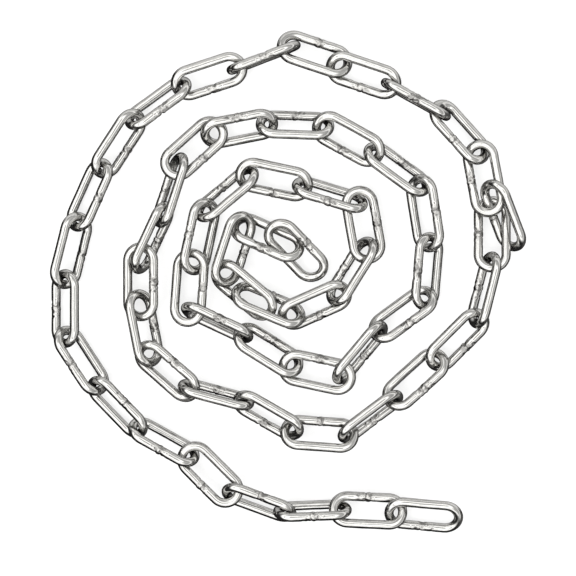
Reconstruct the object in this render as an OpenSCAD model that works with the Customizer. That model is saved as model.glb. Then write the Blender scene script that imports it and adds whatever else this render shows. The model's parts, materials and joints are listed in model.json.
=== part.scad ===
// Long-link chain laid in an inward spiral
//
// 59 welded links of round bar, lying on a flat surface in about three loose turns. Link 1 is the
// free end of the outer turn and link 59 is the free end in the middle. Sizes are in mm and angles
// in degrees. Z is up, the chain lies on z = 0, and the origin is the middle of its box.

/* [Link] */
// Diameter of the bar
wire = 8; // [7:0.1:8.2]
// Inside length of a link, which is also the pitch
pitch = 52; // [51:0.5:58]
// Outside width of a link
width = 32; // [31:0.5:36]

/* [Weld] */
// How far the weld collar stands out from the bar
weld_height = 0.4; // [0.1:0.1:0.6]
// Length of the weld collar
weld_length = 6; // [4:1:12]

/* [Hidden] */

// The middle line of a link is two straight legs joined by two half-round crowns.
bend_r = (width - wire) / 2;
half_leg = (pitch + 2 * wire - width) / 2;

// Each row is one link: x and y of its middle, heading from link 1 towards link 59, lean, weld side.
// Heading is measured from +X towards +Y. A lean above 0 puts the left leg high, and one below 0 the
// right leg. The weld is on the left leg for 1 and on the right leg for -1.
layout = [
    [117, -200, 175, -33, 1],
    [69, -196, 177, 18, -1],
    [21, -196, -178, 70, 1],
    [-25, -189, 160, -59, -1],
    [-67, -165, 135, -5, 1],
    [-107, -137, 151, 55, 1],
    [-147, -107, 134, -50, -1],
    [-178, -67, 123, 45, 1],
    [-192, -22, 90, -45, 1],
    [-187, 28, 76, 40, -1],
    [-171, 76, 66, -45, -1],
    [-146, 120, 57, 45, -1],
    [-112, 155, 36, -55, -1],
    [-68, 178, 18, 25, -1],
    [-21, 194, 21, -90, -1],
    [23, 197, -18, -25, 1],
    [65, 179, -19, 30, -1],
    [110, 158, -29, -90, -1],
    [148, 130, -48, -40, -1],
    [169, 90, -80, 20, -1],
    [185, 58, -68, 50, -1],
    [176, 42, -91, 5, -1],
    [169, -6, -104, 65, -1],
    [146, -49, -135, -35, 1],
    [110, -83, -138, 30, 1],
    [71, -115, -143, -65, 1],
    [27, -130, 176, 25, -1],
    [-17, -114, 150, -50, 1],
    [-62, -96, 165, 72, -1],
    [-104, -76, 139, -35, -1],
    [-124, -39, 101, 45, -1],
    [-127, 1, 90, -20, -1],
    [-117, 39, 65, 65, -1],
    [-101, 80, 72, -65, 1],
    [-81, 116, 42, -10, -1],
    [-42, 133, 11, 40, 1],
    [6, 136, -2, -45, 1],
    [52, 124, -29, 25, -1],
    [94, 98, -36, -50, 1],
    [118, 60, -81, 40, 1],
    [120, 10, -95, -44, -1],
    [99, -27, -144, 40, 1],
    [62, -60, -130, -65, 1],
    [25, -77, 168, -10, -1],
    [-17, -58, 148, 40, -1],
    [-61, -34, 155, -70, -1],
    [-85, -4, 86, -15, -1],
    [-76, 40, 78, 40, 1],
    [-53, 77, 40, -55, 1],
    [-12, 89, -12, 25, -1],
    [36, 76, -17, -60, -1],
    [65, 50, -80, -10, 1],
    [55, 10, -122, 55, -1],
    [23, -19, -156, -35, 1],
    [-17, -19, 157, 45, -1],
    [-38, -6, 140, -35, 1],
    [-47, 29, 72, 40, -1],
    [-18, 39, -24, -35, -1],
    [7, 28, -46, 25, 1]
];

// Links that are piled on others: link number, lift of the start and lift of the end.
raised = [
    [1, 2, 1],
    [2, 1, 0],
    [3, 0, 3],
    [19, -3, 0],
    [20, 1, 6],
    [21, 12, -2],
    [22, -8, 3],
    [23, 4, 1],
    [24, -1, 0],
    [55, 2, 2],
    [56, 2, -1],
    [57, 3, 7],
    [58, -1, 6],
    [59, 12, 0]
];

// The rows are laid out for this pitch, and the plan grows with any other.
layout_pitch = 52;
count = len(layout);

function heading(i) = layout[i][2];
function lean(i) = layout[i][3];
function weld_side(i) = layout[i][4];

// Height of the middle of a link that rests on its lower leg.
function rest_height(i) = wire / 2 + bend_r * sin(abs(lean(i)));

// A joint is as high as the higher of its two links needs, plus the lift of a piled link.
function lift(i, column) =
    let (hit = search(i + 1, raised))
    len(hit) == 0 ? 0 : raised[hit[0]][column];
function start_height(i) = max(rest_height(i), rest_height(max(i - 1, 0))) + lift(i, 1);
function end_height(i) = max(rest_height(i), rest_height(min(i + 1, count - 1))) + lift(i, 2);
function slope(i) = asin((end_height(i) - start_height(i)) / pitch);

function middle(i) = [
    layout[i][0] * pitch / layout_pitch,
    layout[i][1] * pitch / layout_pitch,
    (start_height(i) + end_height(i)) / 2
];

// Unit vectors along a link and across it, towards its left leg.
function along(i) = [
    cos(heading(i)) * cos(slope(i)),
    sin(heading(i)) * cos(slope(i)),
    sin(slope(i))
];
function level_left(i) = [-sin(heading(i)), cos(heading(i)), 0];
function across(i) =
    level_left(i) * cos(lean(i)) + cross(along(i), level_left(i)) * sin(lean(i));

// Farthest that the bar and the weld collar of a link reach from its middle in direction e.
function bar_reach(i, e) =
    half_leg * abs(along(i) * e) + bend_r * norm([along(i) * e, across(i) * e]) + wire / 2;
function weld_reach(i, e) =
    weld_side(i) * bend_r * (across(i) * e)
    + (wire / 2 + weld_height) * norm(cross(along(i), e))
    + (weld_length / 2 - weld_height) * abs(along(i) * e);
function reach(i, e) = max(bar_reach(i, e), weld_reach(i, e));

// Farthest that the whole chain reaches in direction e.
function extent(e) = max([for (i = [0 : count - 1]) middle(i) * e + reach(i, e)]);
centring = [
    (extent([-1, 0, 0]) - extent([1, 0, 0])) / 2,
    (extent([0, -1, 0]) - extent([0, 1, 0])) / 2,
    extent([0, 0, -1])
];

// The round bar is exact in the solid model; this only sets how fine a preview is.
$fn = 48;

module leg() {
    rotate([0, 90, 0])
        cylinder(h = 2 * half_leg, d = wire, center = true);
}

module crown() {
    translate([half_leg, 0, 0])
        rotate([0, 0, -90])
            rotate_extrude(angle = 180)
                translate([bend_r, 0])
                    circle(d = wire);
}

// A short collar with a cone at each end that runs into the bar.
module weld_collar() {
    collar_r = wire / 2 + weld_height;
    rotate([0, 90, 0]) {
        cylinder(h = weld_length - 2 * weld_height, r = collar_r, center = true);
        for (side = [0, 1])
            mirror([0, 0, side])
                translate([0, 0, weld_length / 2 - weld_height])
                    cylinder(h = 2 * weld_height, r1 = collar_r, r2 = collar_r - 2 * weld_height);
    }
}

// One link about its middle: legs along X, lying in the XY plane.
module link(side) {
    color("silver")
        union() {
            for (y = [-bend_r, bend_r])
                translate([0, y, 0])
                    leg();
            crown();
            rotate([0, 0, 180])
                crown();
            translate([0, side * bend_r, 0])
                weld_collar();
        }
}

module laid_link(i) {
    translate(middle(i) + centring)
        rotate([0, 0, heading(i)])
            rotate([0, -slope(i), 0])
                rotate([lean(i), 0, 0])
                    link(weld_side(i));
}

for (i = [0 : count - 1])
    laid_link(i);
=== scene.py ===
import json
import math
import random

import bpy
import numpy as np
from mathutils import Matrix, Vector

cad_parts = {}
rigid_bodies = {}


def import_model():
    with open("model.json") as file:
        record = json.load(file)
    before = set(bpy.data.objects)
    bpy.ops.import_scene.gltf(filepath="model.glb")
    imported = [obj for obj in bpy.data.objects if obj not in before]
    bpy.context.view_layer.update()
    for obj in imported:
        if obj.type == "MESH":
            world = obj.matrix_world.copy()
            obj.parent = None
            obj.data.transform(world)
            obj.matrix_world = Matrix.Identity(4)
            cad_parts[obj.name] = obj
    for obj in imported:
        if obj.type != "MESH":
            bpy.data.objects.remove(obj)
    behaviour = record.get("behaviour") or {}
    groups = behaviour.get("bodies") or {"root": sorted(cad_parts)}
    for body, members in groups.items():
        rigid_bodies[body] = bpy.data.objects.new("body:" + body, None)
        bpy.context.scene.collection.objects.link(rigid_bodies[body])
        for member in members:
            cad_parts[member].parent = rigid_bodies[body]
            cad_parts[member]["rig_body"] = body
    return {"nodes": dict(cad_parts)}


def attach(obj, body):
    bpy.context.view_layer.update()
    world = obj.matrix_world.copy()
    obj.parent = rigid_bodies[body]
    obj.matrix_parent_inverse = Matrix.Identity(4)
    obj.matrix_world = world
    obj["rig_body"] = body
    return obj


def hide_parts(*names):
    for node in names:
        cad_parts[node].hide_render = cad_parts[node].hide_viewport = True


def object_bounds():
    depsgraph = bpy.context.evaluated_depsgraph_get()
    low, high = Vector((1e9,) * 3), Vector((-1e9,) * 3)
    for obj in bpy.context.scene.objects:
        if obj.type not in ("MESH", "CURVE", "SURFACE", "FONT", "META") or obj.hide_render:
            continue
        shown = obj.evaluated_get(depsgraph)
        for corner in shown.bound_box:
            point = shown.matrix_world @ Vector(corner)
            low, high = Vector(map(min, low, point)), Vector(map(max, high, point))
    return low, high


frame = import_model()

# A long-link chain laid in a spiral. Each link is one swept bar with its own weld, placed and sized
# from the CAD solid that it stands for. Lengths are in metres, except where a name or note says mm.

MM = 0.001
# The range that a random angle is drawn from, in radians.
ANY_ANGLE = (0, 6.28)

scene = bpy.context.scene
CAD_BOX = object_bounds()
NODES = sorted(frame["nodes"])


# ---------------------------------------------------------------- links, as the CAD lays them
def mesh_points(name):
    mesh = frame["nodes"][name].data
    co = np.zeros(len(mesh.vertices) * 3)
    mesh.vertices.foreach_get("co", co)
    return co.reshape(-1, 3)


def volume_moments(name):
    """Centroid and second moments of a closed CAD mesh."""
    mesh = frame["nodes"][name].data
    mesh.calc_loop_triangles()
    tri = np.zeros(len(mesh.loop_triangles) * 3, int)
    mesh.loop_triangles.foreach_get("vertices", tri)
    p = mesh_points(name)
    middle = p.mean(0)
    a, b, c = (p[tri.reshape(-1, 3)[:, k]] - middle for k in range(3))
    # Six times the volume of each tetrahedron from the middle to a triangle.
    six = (np.cross(a, b) * c).sum(1)
    s = a + b + c
    centroid = (six[:, None] * s).sum(0) / (4 * six.sum())
    second = np.einsum("i,ij,ik->jk", six, s, s)
    for q in (a, b, c):
        second += np.einsum("i,ij,ik->jk", six, q, q)
    second = second / (20 * six.sum()) - np.outer(centroid, centroid)
    return centroid + middle, second


# The weld's collar lies within this share of half a link's length from its middle.
WELD_SHARE = 0.25


def link_frame(name, towards):
    """Middle, axes (along, across towards the weld, square to both) and half sizes of one link."""
    middle, second = volume_moments(name)
    vectors = np.linalg.eigh(second)[1]
    along, across = vectors[:, 2], vectors[:, 1]
    if along @ towards < 0:
        along = -along
    # The weld's collar pulls the centroid aside, so the middle is set from the bar on both sides of it.
    s = (mesh_points(name) - middle) @ along
    middle = middle + along * (s.max() + s.min()) / 2
    p = mesh_points(name) - middle
    s, t = p @ along, p @ across
    away_from_weld = np.abs(s) > s.max() * WELD_SHARE
    middle = middle + across * (t[away_from_weld].max() + t[away_from_weld].min()) / 2
    if t[~away_from_weld].mean() < 0:
        across = -across
    square = np.cross(along, across)
    p = mesh_points(name) - middle
    half_sizes = [np.abs(p[away_from_weld] @ v).max() for v in (along, across, square)]
    return middle, (along, across, square), half_sizes


LINKS = {}
rough_middles = [mesh_points(n).mean(0) for n in NODES]
for i, n in enumerate(NODES):
    before, after = max(i - 1, 0), min(i + 1, len(NODES) - 1)
    LINKS[n] = link_frame(n, rough_middles[after] - rough_middles[before])

# Half the link's length and width, and the bar's radius: the same for every link.
HALF_LENGTH, HALF_WIDTH, BAR = (
    float(np.median([half_sizes[k] for _, _, half_sizes in LINKS.values()])) for k in range(3)
)
# The radius of the crowns' middle line, half the straight length, and one time round the link.
BEND = HALF_WIDTH - BAR
LEG = HALF_LENGTH - HALF_WIDTH
LOOP = 2 * math.pi * BEND + 4 * LEG


# ---------------------------------------------------------------- one link as a swept bar
def path_point(s):
    """Point and inward normal of the link's middle line, s metres on from the weld."""
    crown = math.pi * BEND
    s = s % LOOP
    if s < LEG:
        return (s, BEND), (0, -1)
    s -= LEG
    if s < crown:
        a = math.pi / 2 - s / BEND
        return (LEG + BEND * math.cos(a), BEND * math.sin(a)), (-math.cos(a), -math.sin(a))
    s -= crown
    if s < 2 * LEG:
        return (LEG - s, -BEND), (0, 1)
    s -= 2 * LEG
    if s < crown:
        a = -math.pi / 2 - s / BEND
        return (-LEG + BEND * math.cos(a), BEND * math.sin(a)), (-math.cos(a), -math.sin(a))
    s -= crown
    return (-LEG + s, BEND), (0, -1)


def stations():
    """Distances from the weld at which the bar is cut: close together at the weld."""
    fine_step, fine_cuts = 0.35 * MM, 30
    leg_cuts, crown_cuts, far_leg_cuts = 5, 26, 12
    crown = math.pi * BEND
    fine = [k * fine_step for k in range(fine_cuts)]
    rest_of_leg = LEG - fine[-1]
    cuts = fine[:]
    cuts += [fine[-1] + rest_of_leg * k / leg_cuts for k in range(1, leg_cuts)]
    cuts += [LEG + crown * k / crown_cuts for k in range(crown_cuts + 1)]
    cuts += [LEG + crown + 2 * LEG * k / far_leg_cuts for k in range(1, far_leg_cuts)]
    half = LOOP / 2
    cuts = [s for s in cuts if s < half - 1e-6]
    return cuts + [half] + [LOOP - s for s in reversed(cuts) if s > 1e-9]


# The number of points round the bar.
AROUND = 28
STATIONS = stations()
PATH = [path_point(s) for s in STATIONS]
SPOT = np.array([spot for spot, _ in PATH])
INWARD = np.array([inward for _, inward in PATH])
RUN = np.array(STATIONS)[:, None]
BAR_ANGLE = np.linspace(0, 2 * math.pi, AROUND, endpoint=False)[None, :]


def tube_faces(rings, around):
    """Quads of a closed tube, whose last ring joins its first."""
    faces = []
    for i in range(rings):
        this, following = i * around, (i + 1) % rings * around
        for k in range(around):
            beside = (k + 1) % around
            faces.append((this + k, this + beside, following + beside, following + k))
    return faces


FACES = tube_faces(len(PATH), AROUND)


def smooth(x):
    x = np.clip(x, 0.0, 1.0)
    return x * x * (3 - 2 * x)


def turned(a, middle):
    """Angle from middle, between minus pi and pi."""
    return (a - middle + math.pi) % (2 * math.pi) - math.pi


# In mm: how far from the weld's middle its marks may reach, and over what length they fade out there.
WELD_REACH, WELD_FADE = 12.0, 2.5


def weld_pits(rnd, t, a):
    """Depth in mm, below zero, of the pits that trimming left near the weld."""
    pits = 0.0
    for _ in range(rnd.randint(20, 28)):
        along_bar = rnd.gauss(0, 3.8)
        round_bar = rnd.uniform(*ANY_ANGLE)
        width = rnd.uniform(0.6, 1.4)
        depth = rnd.uniform(0.25, 0.7)
        stretched = rnd.uniform(0.6, 2.0)
        # The bar's radius is about 4 mm, which turns an angle into a distance.
        q = ((t - along_bar) / (width * stretched)) ** 2 + (4 * turned(a, round_bar) / width) ** 2
        pits = pits - depth * np.exp(-q)
    return pits


def clamp_marks(rnd, t, a):
    """Depth in mm, below zero, of the flats pressed by the clamps that held the bar, two on each side."""
    marks = 0.0
    for side in (-1, 1, 1, -1):
        along_bar = side * rnd.uniform(5.5, 8.5)
        round_bar = rnd.uniform(*ANY_ANGLE)
        width = rnd.uniform(0.9, 2.0)
        depth = rnd.uniform(0.08, 0.2)
        inside = smooth((width - np.abs(t - along_bar)) / 0.4)
        inside = inside * smooth((0.8 - np.abs(turned(a, round_bar))) / 0.25)
        marks = marks - depth * inside
    return marks


def weld_rise(rnd, t, a):
    """Rise in mm of a butt weld's trimmed bead, and how pitted it is from 0 to 1, by which the steel paints
    shade into the pits and notches.

    It is taken t mm from the weld's middle and a radians round the bar: a low ring with a ragged edge,
    a notch on both sides of it, pits and clamp marks.
    """
    edge = 0.0
    for waves in (2, 3, 5, 7):
        edge = edge + rnd.uniform(0.12, 0.3) * np.sin(waves * a + rnd.uniform(*ANY_ANGLE))
    turn = rnd.uniform(*ANY_ANGLE)
    x = t - rnd.uniform(-0.6, 0.6) * np.sin(a + turn)
    half_width = rnd.uniform(1.2, 2.0) + 0.4 * edge
    ring = rnd.uniform(0.16, 0.32) * (1 + 0.6 * edge) * np.exp(-((x / half_width) ** 4))
    notch = 0.0
    for side in (-1, 1):
        depth = 0.30 * (0.15 + 1.3 * np.maximum(0.0, np.sin(a + turn + side + 2 * edge)))
        notch = notch - depth * np.exp(-(((x - side * (half_width + 0.8)) / 0.55) ** 2))
    pits = weld_pits(rnd, t, a)
    marks = clamp_marks(rnd, t, a)
    fade = smooth((WELD_REACH - np.abs(t)) / WELD_FADE)
    return (ring + notch + pits + marks) * fade, np.clip(-(notch + pits) / 0.3, 0, 1) * fade


def low_lumps(rnd, a):
    """Rise in mm of the low waves along and round the bar: no bar is a perfect cylinder."""
    lumps = 0.0
    for j in range(6):
        height = rnd.uniform(0.012, 0.03)
        along_bar = np.sin((j + 2) * 2 * math.pi * RUN / LOOP + rnd.uniform(*ANY_ANGLE))
        round_bar = np.sin((1 + j % 3) * a + rnd.uniform(*ANY_ANGLE))
        lumps = lumps + height * (along_bar * round_bar)
    return lumps


def link_mesh(name, seed):
    rnd = random.Random(seed)
    a = BAR_ANGLE
    # The distance in mm from the weld's middle, below zero on one side of it.
    t = np.where(RUN < LOOP / 2, RUN, RUN - LOOP) / MM
    rise, pitted = weld_rise(rnd, t, a)
    radius = BAR + MM * (rise + low_lumps(rnd, a))
    # The two bar ends meet a little out of line at the weld, and each leg bows about a tenth of a mm.
    kink = rnd.uniform(-0.18, 0.18) * MM
    out_of_line = kink * np.sign(t) * np.exp(-((t / 6.0) ** 2)) * (1 - np.exp(-((t / 0.6) ** 2)))
    on_leg = np.clip(1 - (SPOT[:, :1] / LEG) ** 2, 0, 1)
    bow = rnd.uniform(-0.12, 0.12) * MM * on_leg * np.sign(SPOT[:, 1:])
    inward = radius * np.cos(a) + out_of_line
    x = SPOT[:, :1] + INWARD[:, :1] * inward
    y = SPOT[:, 1:] + bow + INWARD[:, 1:] * inward
    co = np.stack([x, y, radius * np.sin(a)], 2)
    mesh = bpy.data.meshes.new(name)
    mesh.from_pydata(co.reshape(-1, 3).tolist(), [], FACES)
    mesh.update()
    mesh.polygons.foreach_set("use_smooth", [True] * len(FACES))

    # The material reads where a point is on the straightened bar, how near the weld and how pitted it is
    # (for the painted shade in the pits), and a number of its own for each link.
    flat = np.ones_like(radius)
    on_bar = np.stack([RUN * flat, BAR * np.cos(a) * flat, BAR * np.sin(a) * flat], 2)
    places = mesh.attributes.new("bar", "FLOAT_VECTOR", "POINT")
    places.data.foreach_set("vector", on_bar.astype(np.float32).ravel())
    near_weld = np.exp(-((t / 5.0) ** 4)) * flat
    for key, value in (("weld", near_weld), ("pit_shade", pitted * flat), ("tone", rnd.random() * flat)):
        numbers = mesh.attributes.new(key, "FLOAT", "POINT")
        numbers.data.foreach_set("value", value.astype(np.float32).ravel())
    return mesh


# ---------------------------------------------------------------- node helpers
def new_material(name):
    m = bpy.data.materials.new(name)
    m.use_nodes = True
    nodes, links = m.node_tree.nodes, m.node_tree.links
    nodes.clear()
    out = nodes.new("ShaderNodeOutputMaterial")
    bsdf = nodes.new("ShaderNodeBsdfPrincipled")
    links.new(bsdf.outputs[0], out.inputs[0])
    return m, bsdf, out


def color_ramp(tree, value, stops):
    """Colour against a value: each stop is a position and a red, green and blue."""
    ramp = tree.nodes.new("ShaderNodeValToRGB")
    elements = ramp.color_ramp.elements
    while len(elements) < len(stops):
        elements.new(0.5)
    for element, (position, rgb) in zip(elements, stops):
        element.position = position
        element.color = (*rgb, 1)
    tree.links.new(value, ramp.inputs[0])
    return ramp.outputs[0]


def mix_colors(tree, factor, a, b, blend="MIX"):
    """Colour a blended with b by the factor; each is a socket or a red, green and blue."""
    mix = tree.nodes.new("ShaderNodeMix")
    mix.data_type = "RGBA"
    mix.blend_type = blend
    tree.links.new(factor, mix.inputs["Factor"])
    for socket, v in ((mix.inputs[6], a), (mix.inputs[7], b)):
        if isinstance(v, tuple):
            socket.default_value = (*v, 1)
        else:
            tree.links.new(v, socket)
    return mix.outputs[2]


def add_bump(tree, bsdf, height, strength, distance):
    bump = tree.nodes.new("ShaderNodeBump")
    bump.inputs["Strength"].default_value = strength
    bump.inputs["Distance"].default_value = distance
    tree.links.new(height, bump.inputs["Height"])
    tree.links.new(bump.outputs[0], bsdf.inputs["Normal"])


def grey(v):
    return (v, v, v)


# ---------------------------------------------------------------- stainless steel
def stainless():
    m, bsdf, _ = new_material("polished_stainless")
    tree = m.node_tree
    nodes, links = tree.nodes, tree.links

    def attribute(name, output):
        n = nodes.new("ShaderNodeAttribute")
        n.attribute_name = name
        return n.outputs[output]

    def calc(operation, a, b, clamp=False):
        n = nodes.new("ShaderNodeMath")
        n.operation = operation
        n.use_clamp = clamp
        for k, v in enumerate((a, b)):
            if isinstance(v, float):
                n.inputs[k].default_value = v
            else:
                links.new(v, n.inputs[k])
        return n.outputs[0]

    bar = attribute("bar", "Vector")
    weld = attribute("weld", "Fac")
    tone = attribute("tone", "Fac")
    pit_shade = attribute("pit_shade", "Fac")
    seed = calc("MULTIPLY", tone, 40.0)

    def noise(scale, detail, roughness):
        """Noise on the straightened bar; scale is waves to a metre along the bar and across it."""
        stretch = nodes.new("ShaderNodeMapping")
        stretch.inputs["Scale"].default_value = scale
        links.new(bar, stretch.inputs["Vector"])
        n = nodes.new("ShaderNodeTexNoise")
        n.noise_dimensions = "4D"
        n.inputs["Scale"].default_value = 1.0
        n.inputs["Detail"].default_value = detail
        n.inputs["Roughness"].default_value = roughness
        links.new(stretch.outputs[0], n.inputs["Vector"])
        links.new(seed, n.inputs["W"])
        return n.outputs[0]

    # Drawn-bar lines that run along the bar, tumbling scuffs in every direction, slow waviness, soot
    # at the weld, and small dings.
    lines = noise((120, 2600, 2600), 3.0, 0.6)
    scuffs = noise((2200, 2600, 2600), 4.0, 0.65)
    wavy = noise((260, 340, 340), 2.0, 0.5)
    smut = noise((700, 700, 700), 5.0, 0.7)
    cells = nodes.new("ShaderNodeTexVoronoi")
    cells.voronoi_dimensions = "4D"
    cells.inputs["Scale"].default_value = 900
    links.new(bar, cells.inputs["Vector"])
    links.new(seed, cells.inputs["W"])
    no_ding = color_ramp(tree, cells.outputs["Distance"], [(0.0, grey(0)), (0.16, grey(1)), (1.0, grey(1))])
    patches = color_ramp(tree, smut, [(0.35, grey(0.25)), (0.62, grey(1))])
    ragged = calc("MULTIPLY", weld, patches, True)

    streaks = color_ramp(tree, lines, [(0.44, grey(0)), (0.62, grey(1))])
    steel = mix_colors(tree, wavy, (0.62, 0.615, 0.60), (0.80, 0.795, 0.78))
    steel = mix_colors(tree, calc("MULTIPLY", streaks, 0.55), steel, (0.36, 0.355, 0.345))
    burnt = mix_colors(tree, smut, (0.26, 0.25, 0.24), (0.62, 0.60, 0.58))
    steel = mix_colors(tree, calc("MULTIPLY", ragged, 0.35), steel, burnt)
    # Painted shade: the weld's pits and notches are darkened towards black by their depth.
    steel = mix_colors(tree, calc("MULTIPLY", pit_shade, 0.6, True), steel, (0.10, 0.096, 0.092))
    links.new(steel, bsdf.inputs["Base Color"])
    bsdf.inputs["Metallic"].default_value = 1.0
    # The near-black specular tint darkens the grazing rims of every bar: painted shade along the outlines.
    bsdf.inputs["Specular Tint"].default_value = (0.05, 0.05, 0.05, 1)

    roughness = calc("ADD", calc("MULTIPLY", scuffs, 0.10), 0.03)
    roughness = calc("ADD", roughness, calc("MULTIPLY", calc("SUBTRACT", 1.0, no_ding), 0.10))
    roughness = calc("ADD", roughness, calc("MULTIPLY", ragged, 0.08), True)
    links.new(roughness, bsdf.inputs["Roughness"])

    height = calc("MULTIPLY", lines, 0.35)
    height = calc("ADD", height, calc("MULTIPLY", scuffs, 0.14))
    height = calc("ADD", height, calc("MULTIPLY", wavy, 1.2))
    height = calc("ADD", height, calc("MULTIPLY", no_ding, 0.22))
    height = calc("ADD", height, calc("MULTIPLY", calc("MULTIPLY", smut, weld), 3.5))
    add_bump(tree, bsdf, height, 1.0, 0.06 * MM)
    return m


STEEL = stainless()

FIRST_SEED = 1000
for i, n in enumerate(NODES):
    middle, (along, across, square), _ = LINKS[n]
    mesh = link_mesh("bar_" + n, FIRST_SEED + i)
    mesh.materials.append(STEEL)
    o = bpy.data.objects.new("bar_" + n, mesh)
    scene.collection.objects.link(o)
    turn = Matrix((along, across, square)).transposed().to_4x4()
    o.matrix_world = Matrix.Translation(middle) @ turn
    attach(o, frame["nodes"][n]["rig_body"])
    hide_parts(n)


# ---------------------------------------------------------------- floor
FLOOR_REACH = 3.0
FLOOR_DROP = 0.1 * MM
# How much of what lies below shows through the floor, and how strongly the floor glows.
FLOOR_CLEARNESS = 0.60
FLOOR_GLOW = 0.30


def white_board():
    m, bsdf, out = new_material("white_board")
    tree = m.node_tree
    nodes, links = tree.nodes, tree.links
    grain = nodes.new("ShaderNodeTexNoise")
    grain.inputs["Scale"].default_value = 900
    grain.inputs["Detail"].default_value = 3
    coord = nodes.new("ShaderNodeTexCoord")
    links.new(coord.outputs["Object"], grain.inputs["Vector"])
    white = color_ramp(tree, grain.outputs[0], [(0.0, grey(0.93)), (1.0, grey(0.96))])
    links.new(white, bsdf.inputs["Base Color"])
    bsdf.inputs["Roughness"].default_value = 0.85
    # A little light of its own keeps the table white between the bars.
    bsdf.inputs["Emission Color"].default_value = (1, 1, 1, 1)
    bsdf.inputs["Emission Strength"].default_value = FLOOR_GLOW
    add_bump(tree, bsdf, grain.outputs[0], 0.2, 0.1 * MM)
    # The table is frosted glass, so links that a joint swings below it still show through.
    clear = nodes.new("ShaderNodeBsdfTransparent")
    frost = nodes.new("ShaderNodeMixShader")
    frost.inputs[0].default_value = FLOOR_CLEARNESS
    links.new(bsdf.outputs[0], frost.inputs[1])
    links.new(clear.outputs[0], frost.inputs[2])
    links.new(frost.outputs[0], out.inputs[0])
    return m


floor_mesh = bpy.data.meshes.new("floor")
floor_corners = [(x * FLOOR_REACH, y * FLOOR_REACH, 0) for x, y in ((-1, -1), (1, -1), (1, 1), (-1, 1))]
floor_mesh.from_pydata(floor_corners, [], [(0, 1, 2, 3)])
floor_mesh.materials.append(white_board())
floor = bpy.data.objects.new("floor", floor_mesh)
scene.collection.objects.link(floor)
floor.location.z = CAD_BOX[0].z - FLOOR_DROP
floor.visible_glossy = False

# ---------------------------------------------------------------- light
# Level headings from the chain to the lamp's side of the room and to the wall at the picture's top.
LAMP_HEADING = (-0.88, -0.47, 0)
WALL_HEADING = (0.17, 0.98, 0)
SUN_DIRECTION = (-0.42, -0.38, 0.82)

world = bpy.data.worlds.new("studio")
scene.world = world
world.use_nodes = True
room = world.node_tree
room.nodes.clear()
direction = room.nodes.new("ShaderNodeTexCoord").outputs["Generated"]
split = room.nodes.new("ShaderNodeSeparateXYZ")
room.links.new(direction, split.inputs[0])


def sky(stops):
    """Brightness against height: stops run from the horizon, 0, to straight up, 1."""
    return color_ramp(room, split.outputs["Z"], [(z, (v, v * 0.995, v * 0.98)) for z, v in stops])


def share_towards(heading, start, end):
    """How far a direction lies towards a heading: 0 up to start, 1 from end on."""
    dot = room.nodes.new("ShaderNodeVectorMath")
    dot.operation = "DOT_PRODUCT"
    dot.inputs[1].default_value = heading
    room.links.new(direction, dot.inputs[0])
    share = room.nodes.new("ShaderNodeMapRange")
    share.interpolation_type = "SMOOTHSTEP"
    share.inputs["From Min"].default_value = start
    share.inputs["From Max"].default_value = end
    room.links.new(dot.outputs["Value"], share.inputs["Value"])
    return share.outputs[0]


# A large soft lamp hangs high at the left. The right of the room is a dimmer grey, with a strip of
# light low down. A wall at the top of the picture is pale low down, so bars are lighter along their
# upper edges.
lamp_side = sky([
    (0.0, 0.03), (0.28, 0.03), (0.38, 0.45), (0.50, 1.75), (0.66, 1.85),
    (0.71, 0.62), (0.77, 1.90), (0.95, 1.95), (0.985, 0.60),
])
dim_side = sky([
    (0.0, 0.12), (0.06, 0.10), (0.15, 0.12), (0.25, 1.20), (0.34, 1.15),
    (0.43, 0.48), (0.80, 0.68), (0.89, 1.80), (0.96, 1.95), (0.985, 0.60),
])
far_wall = sky([(0.0, 0.70), (0.20, 0.50), (0.32, 0.0)])
light = mix_colors(room, share_towards(LAMP_HEADING, -0.25, 0.25), dim_side, lamp_side)
light = mix_colors(room, share_towards(WALL_HEADING, 0.20, 0.75), light, far_wall, "ADD")
lit_room = room.nodes.new("ShaderNodeBackground")
room.links.new(light, lit_room.inputs["Color"])

# The room itself shows white behind and through the floor.
white_room = room.nodes.new("ShaderNodeBackground")
white_room.inputs["Color"].default_value = (1.0, 1.0, 1.0, 1)
ray = room.nodes.new("ShaderNodeLightPath")
seen = room.nodes.new("ShaderNodeMixShader")
room.links.new(ray.outputs["Is Camera Ray"], seen.inputs[0])
room.links.new(lit_room.outputs[0], seen.inputs[1])
room.links.new(white_room.outputs[0], seen.inputs[2])
room_out = room.nodes.new("ShaderNodeOutputWorld")
room.links.new(seen.outputs[0], room_out.inputs[0])

lamp_data = bpy.data.lights.new("soft_lamp", "SUN")
lamp_data.energy = 1.1
lamp_data.angle = math.radians(28)
lamp = bpy.data.objects.new("soft_lamp", lamp_data)
scene.collection.objects.link(lamp)
lamp.rotation_euler = Vector(SUN_DIRECTION).to_track_quat("Z", "Y").to_euler()
lamp.visible_glossy = False

# ---------------------------------------------------------------- camera
PIXELS_ACROSS = 576
PIXELS_PER_METRE = 1160
# The scale holds at this height, about the middle of the chain's.
SCALE_HEIGHT = 0.012
# The picture's middle is a little below the frame's middle.
PICTURE_MIDDLE = (0.0001, -0.0053)

cam_data = bpy.data.cameras.new("camera")
cam_data.lens = 200
cam_data.sensor_width = 36
cam_data.clip_start = 0.05
cam_data.clip_end = 20
cam = bpy.data.objects.new("camera", cam_data)
scene.collection.objects.link(cam)
scene.camera = cam
half_width = PIXELS_ACROSS / PIXELS_PER_METRE / 2
distance = half_width / (cam_data.sensor_width / 2 / cam_data.lens)
cam.location = (*PICTURE_MIDDLE, distance + SCALE_HEIGHT)
cam.rotation_euler = (0, 0, 0)

scene.view_settings.view_transform = "Standard"
scene.view_settings.look = "None"
